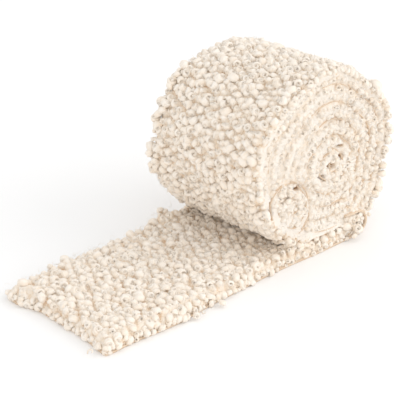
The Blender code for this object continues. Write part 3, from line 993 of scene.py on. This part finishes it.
def layer_edges(name, sign, share):
    """The cut edge of the backing between the layers: a thin oval tube along both whorls' lines."""
    around = FULL_TURN * np.arange(EDGE_SIDES) / EDGE_SIDES
    points, faces, total = [], [], 0
    for turns, line in (
        (np.linspace(0.5, LAYERS - 0.05, 900), layer_line),
        (np.linspace(0.3, PLEAT_TURNS + 0.9, 220), pleat_line),
    ):
        wobble = joined(np.sin(41.0 * turns), np.cos(37.0 * turns))
        flat = line(turns, 0.0, share) + 0.0004 * wobble
        hidden = (pleat_share(flat, share) < PLEAT_RIM) & (line is layer_line)
        y = BAND_WIDTH / 2.0 - END_SETBACK - 0.0019 + 0.0007 * np.sin(23.0 * turns)
        y = y - 0.0014 * (1.0 - smooth_step(flat[:, 0], 0.046, 0.066)) * (line is layer_line)
        y = np.where(hidden | (flat[:, 1] < ROLL_FLOOR + 0.002), y - 0.008, y)
        ahead = unit(np.gradient(flat, axis=0))
        aside = joined(-ahead[:, 1], ahead[:, 0])
        ring = flat[:, None] + EDGE_THICK * np.cos(around)[None, :, None] * aside[:, None]
        ring_y = sign * (y[:, None] + EDGE_WIDE * np.sin(around)[None])
        points.append(joined(ring[..., 0], ring_y, ring[..., 1]).reshape(-1, 3))
        faces += map(turned, tube_faces(len(turns), EDGE_SIDES, np.array((total,)), flip=sign > 0))
        total += len(points[-1])
    finish_piece(mesh_object(name, np.concatenate(points), faces), "backing_cloth")


def strip_height(x, y):
    """Height of the loose end's pile roots over the floor, with its swells."""
    total = 0.0 * x
    for centre_x, centre_y, half_x, half_y, height in SWELLS:
        distance = np.hypot((x - centre_x) / half_x, (y - centre_y) / half_y)
        total = total + height * (1.0 - smooth_step(distance, 0.0, SWELL_SPREAD))
    return total


def strip_plan(u, v):
    """x and y at shares u along and v across the loose end, with its pulled corners and its uneven edge."""
    x = mix(STRIP_START, STRIP_END, u)
    near = -BAND_WIDTH / 2.0
    for middle, half_length, height in EDGE_BULGES:
        near = near - height * (1.0 - smooth_step(np.abs(x - middle) / half_length, 0.0, SWELL_SPREAD))
    y = mix(near, BAND_WIDTH / 2.0, v)
    pull = 0.0
    for corner, height, size in DOG_EARS:
        distance = np.hypot(x - STRIP_START, y - corner) / size
        pull = pull + height * (1.0 - smooth_step(distance, 0.0, SWELL_SPREAD))
    return x - pull, y


def strip_arch(x, y):
    """How far the backing is lifted under the swell at the far edge."""
    return 0.6 * strip_height(x, y) * (y > 0.02) * (x > -0.03)


def backing_path(distance, v):
    """Middle of the backing at a distance from the cut end: straight, half a turn up, and straight back.

    Gives x, y, z and the x and z of the upward normal, which turns with the fold.
    """
    straight = STRIP_END - FOLD_SETBACK - STRIP_START
    bend = np.clip((distance - straight) / FOLD_RADIUS, 0.0, math.pi)
    back = np.maximum(distance - straight - math.pi * FOLD_RADIUS, 0.0)
    x, y = strip_plan(np.minimum(distance, straight) / STRIP_LENGTH, v)
    x = x + FOLD_RADIUS * np.sin(bend) - back
    z = 0.0009 + FOLD_RADIUS * (1.0 - np.cos(bend))
    return x, y, z, -np.sin(bend), np.cos(bend)


def shares(columns, rows):
    """Shares along and across the loose end, on a grid."""
    return np.meshgrid(np.linspace(0.0, 1.0, columns), np.linspace(0.0, 1.0, rows), indexing="ij")


def loose_places(pitch, table, between=0.0):
    """x and y of curls on the loose end, apart from where the roll presses on it."""
    s, t = tuft_places(STRIP_LENGTH, BAND_WIDTH, pitch, table, between)
    free = (s + STRIP_START < 0.042) | (np.abs(t - BAND_WIDTH / 2.0) > 0.040)
    free &= t < BAND_WIDTH - 0.003
    return strip_plan(s[free] / STRIP_LENGTH, t[free] / BAND_WIDTH)


class TRIM_OT_loose_end(bpy.types.Operator):
    """Lay the loose end: its backing, its mass of fine pile and its curls"""

    bl_idname = "trim.loose_end"
    bl_label = "Loose end"

    def execute(self, context):
        settings = context.scene.fur_trim
        pitch, size = settings.curl_pitch, settings.curl_size
        half = BAND_WIDTH / 2.0
        table = tuft_table(64, 128, 17)
        # Backing: a thin closed sheet that turns up and back under the roll
        path_length = STRIP_LENGTH - FOLD_SETBACK + math.pi * FOLD_RADIUS + FOLD_BACK
        u, v = shares(150, 50)
        x, y, z, normal_x, normal_z = backing_path(u * path_length, v)
        arch = strip_arch(x, y) * (z < 0.001)
        top, under = (
            joined(x + off * normal_x, y, z + off * normal_z + arch) for off in (BACKING_HALF, -BACKING_HALF)
        )
        backing = finish_piece(closed_slab("loose_backing", top, under), "backing_cloth")
        # Mass of fine pile, lower towards its edges and where the roll presses on it
        u, v = shares(220, 96)
        x, y = strip_plan(0.004 + 0.992 * u, 0.008 + 0.984 * v)
        lump = pit_share(cell_distance(x - STRIP_START, y + half, pitch, table))
        edge = np.minimum(np.minimum(u, 1.0 - u) * STRIP_LENGTH, np.minimum(v, 1.0 - v) * BAND_WIDTH)
        height = LOOSE_PILE - 0.0016 * lump + strip_height(x, y)
        height = mix(height, PRESSED_PILE, smooth_step(x, *STRIP_PRESSED))
        top = joined(x, y, height - 0.0042 * (1.0 - smooth_step(edge, 0.0, EDGE_REACH)))
        mass = closed_slab("loose_mass", top, joined(x, y, 0.0014 + strip_arch(x, y)))
        tone = mass_tone(lump, top)
        # Painted shade: the underside's points take a low tone, so the mass darkens down its sides towards
        # the floor
        set_tone(mass, np.concatenate((tone, np.full(len(tone), 0.3))))
        finish_piece(mass, "fine_pile")
        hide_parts("loose_end")
        # Curls, lower down and leaning out along the edges
        rng = np.random.default_rng(43)
        x, y = loose_places(pitch, table)
        near_side = np.clip((np.abs(y) - (half - EDGE_REACH)) / EDGE_REACH, 0.0, 1.0) * np.sign(y)
        cut_side = -np.clip((STRIP_START + EDGE_REACH - x) / EDGE_REACH, 0.0, 1.0)
        z = LOOSE_ROOTS + strip_height(x, y) - 0.0022 * np.maximum(np.abs(near_side), np.abs(cut_side))
        roots = joined(x, y, z)
        normals = unit(joined(cut_side, near_side, 0.8))
        curls = ringlets("loose_curls", roots, normals, rng, size, shade=nip_shade(roots))
        x, y = loose_places(pitch, table, BETWEEN_TUFTS)
        roots = joined(x, y, LOOSE_SMALL_ROOTS + strip_height(x, y))
        small = ringlets(
            "loose_small_curls", roots, np.tile((0.0, 0.0, 1.0), (len(x), 1)), rng, size * SMALL_CURL,
            steps=SMALL_STEPS, shade=nip_shade(roots),
        )
        roots, normals = rim_places(0.8 * pitch, rng)
        rim_size = size * np.where(roots[:, 0] > 0.026, 0.60, 0.80)
        rim = ringlets("loose_rim_curls", roots, normals, rng, rim_size)
        # Curls and hooks that hang out of the edges
        strays = np.array(STRAYS)
        outwards = unit(joined(0.0, np.sign(strays[:, 1]), 1.0))
        hanging = ringlets("stray_curls", strays, outwards, rng, size * 0.85)
        hooks = np.array(HOOKS)
        thin = ringlets(
            "stray_hooks", hooks[:, :3], np.tile(HOOK_FACING, (len(hooks), 1)), rng, hooks[:, 3],
            lean=(0.0, 0.1), turns=(0.7, 0.8), lock=(0.30, 0.30),
        )
        return {"FINISHED"}


def rim_places(pitch, rng):
    """Roots and normals of the curls that lean out over the loose end's cut edges."""
    half = BAND_WIDTH / 2.0
    roots, normals = [], []

    def place(at, normal):
        roots.append(at)
        normals.append(np.tile(normal, (len(at), 1)))

    def spaced(length, shift):
        count = int(length / pitch)
        return (np.arange(count) + shift) / count

    for height, shift in ((0.0048, 0.0), (0.0016, 0.5)):
        along, across = spaced(STRIP_LENGTH, shift), spaced(BAND_WIDTH, shift)
        for v, sign in ((0.0, -1.0), (1.0, 1.0)):
            u = np.clip(along + rng.uniform(-0.5, 0.5, len(along)) * pitch / STRIP_LENGTH, 0.0, 1.0)
            x, y = strip_plan(u, 0.0 * u + v)
            z = height + 0.6 * strip_height(x, y) + rng.uniform(-0.0014, 0.0018, len(u))
            inwards = sign * (0.0012 + rng.uniform(-0.0010, 0.0010, len(u)))
            place(joined(x, y - inwards, z), (0.0, sign, 0.15))
        v = np.clip(across + rng.uniform(-0.5, 0.5, len(across)) * pitch / BAND_WIDTH, 0.0, 1.0)
        for u, sign in ((0.0, -1.0), (1.0, 1.0)):
            x, y = strip_plan(0.0 * v + u, v)
            z = height + rng.uniform(-0.0014, 0.0018, len(v))
            place(joined(x - sign * 0.0014, y, z), (sign, 0.0, 0.15))
    # In the mouth of the fold under the roll, four across its height
    across = np.linspace(0.0045, 0.0165, 4)
    along = STRIP_END + np.array((-0.0135, -0.0095, -0.0055, -0.0015, 0.0012))
    x, z = (grid.ravel() for grid in np.meshgrid(along, across))
    for sign in (-1.0, 1.0):
        mouth = joined(x, sign * (half - 0.0022), z)
        place(mouth + rng.normal(0.0, 0.0005, mouth.shape), (0.2, sign, 0.0))
    # In the seam between the roll's ends and the loose end
    along = np.arange(0.030, 0.116, 0.0040)
    for sign in (-1.0, 1.0):
        seam = joined(along, sign * (half - 0.0030), 0.0125)
        place(seam + rng.normal(0.0, 0.0010, seam.shape), (0.0, sign, 0.1))
    normals = np.concatenate(normals)
    return np.concatenate(roots), unit(normals + rng.normal(0.0, 0.2, normals.shape))


def closed_slab(name, top, under):
    """A closed mesh from an upper and a lower grid of the same plan, joined round the rim."""
    rows, columns, _ = top.shape
    quads = grid_faces(rows, columns, closed=False)
    count = rows * columns
    index = np.arange(count).reshape(rows, columns)
    rim = np.concatenate((index[:-1, 0], index[-1, :-1], index[:0:-1, -1], index[0, :0:-1]))
    after = np.roll(rim, -1)
    wall = joined(rim, rim + count, after + count, after)
    faces = [quads, quads[:, ::-1] + count, wall[:, ::-1]]
    return mesh_object(name, np.concatenate((top.reshape(-1, 3), under.reshape(-1, 3))), faces)


class TRIM_OT_stage(bpy.types.Operator):
    """Set the pale floor, the soft light and the camera"""

    bl_idname = "trim.stage"
    bl_label = "Stage"

    def execute(self, context):
        scene = context.scene
        floor = bpy.data.meshes.new("floor")
        wide = 4.0
        corners = [(-wide, -wide, 0), (wide, -wide, 0), (wide, wide, 0), (-wide, wide, 0)]
        floor.from_pydata(corners, [], [(0, 1, 2, 3)])
        ground = bpy.data.objects.new("floor", floor)
        scene.collection.objects.link(ground)
        material, _, shader = new_material("pale_floor", 0.9, 0.5)
        shader.inputs["Base Color"].default_value = (0.95, 0.95, 0.95, 1.0)
        floor.materials.append(material)
        world = bpy.data.worlds.new("studio")
        world.use_nodes = True
        sky = world.node_tree.nodes["Background"]
        sky.inputs["Color"].default_value = (1.0, 1.0, 1.0, 1.0)
        sky.inputs["Strength"].default_value = 1.0
        scene.world = world
        scene.view_settings.view_transform = "Standard"
        scene.view_settings.gamma = 1.10
        target = Vector((0.03, 0.0, 0.06))
        for name, place, size, power, colour in (
            ("key", (0.85, -0.95, 0.8), 1.2, 6.8, (1.0, 1.0, 1.0)),
            ("fill", (-1.1, -0.60, 0.18), 1.0, 0.5, (1.0, 1.0, 1.0)),
            ("glow", (-0.45, -0.42, 0.06), 0.25, 0.30, (1.0, 0.82, 0.62)),
        ):
            light = bpy.data.lights.new(name, "AREA")
            light.color = colour
            light.size = size
            light.energy = power
            lamp = bpy.data.objects.new(name, light)
            lamp.location = place
            lamp.rotation_euler = (target - Vector(place)).to_track_quat("-Z", "Y").to_euler()
            scene.collection.objects.link(lamp)
        right = np.array((math.cos(CAMERA_DIRECTION), -math.sin(CAMERA_DIRECTION), 0.0))
        level = np.array((math.sin(CAMERA_DIRECTION), math.cos(CAMERA_DIRECTION), 0.0))
        ahead = level * math.cos(CAMERA_ELEVATION) - np.array((0.0, 0.0, math.sin(CAMERA_ELEVATION)))
        up = np.cross(right, ahead)
        place = CAMERA_PIVOT - ahead * CAMERA_DISTANCE
        gaze = ahead - PIVOT_OFF_CENTRE[0] * right - PIVOT_OFF_CENTRE[1] * up
        view = bpy.data.cameras.new("photo_view")
        view.lens = FOCAL_LENGTH
        view.sensor_width = SENSOR
        camera = bpy.data.objects.new("photo_view", view)
        camera.location = place
        camera.rotation_euler = Vector(gaze).to_track_quat("-Z", "Y").to_euler()
        scene.collection.objects.link(camera)
        scene.camera = camera
        return {"FINISHED"}


class TRIM_PT_panel(bpy.types.Panel):
    bl_label = "Fur trim"
    bl_idname = "TRIM_PT_panel"
    bl_space_type = "VIEW_3D"
    bl_region_type = "UI"
    bl_category = "Fur trim"

    def draw(self, context):
        settings = context.scene.fur_trim
        for name in PileSettings.__annotations__:
            self.layout.prop(settings, name)
        for operator in OPERATORS:
            self.layout.operator(operator.bl_idname)


OPERATORS = (
    TRIM_OT_stage, TRIM_OT_roll_mass, TRIM_OT_roll_curls, TRIM_OT_end_curls, TRIM_OT_loose_end, TRIM_OT_fuzz,
)
CLASSES = (PileSettings, *OPERATORS, TRIM_PT_panel)


def register():
    for kind in CLASSES:
        bpy.utils.register_class(kind)
    bpy.types.Scene.fur_trim = bpy.props.PointerProperty(type=PileSettings)


def unregister():
    del bpy.types.Scene.fur_trim
    for kind in reversed(CLASSES):
        bpy.utils.unregister_class(kind)


def main():
    register()
    bpy.ops.trim.stage()
    bpy.ops.trim.roll_mass()
    bpy.ops.trim.roll_curls()
    bpy.ops.trim.end_curls()
    bpy.ops.trim.loose_end()
    bpy.ops.trim.fuzz()
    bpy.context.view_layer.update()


if __name__ == "__main__":
    main()
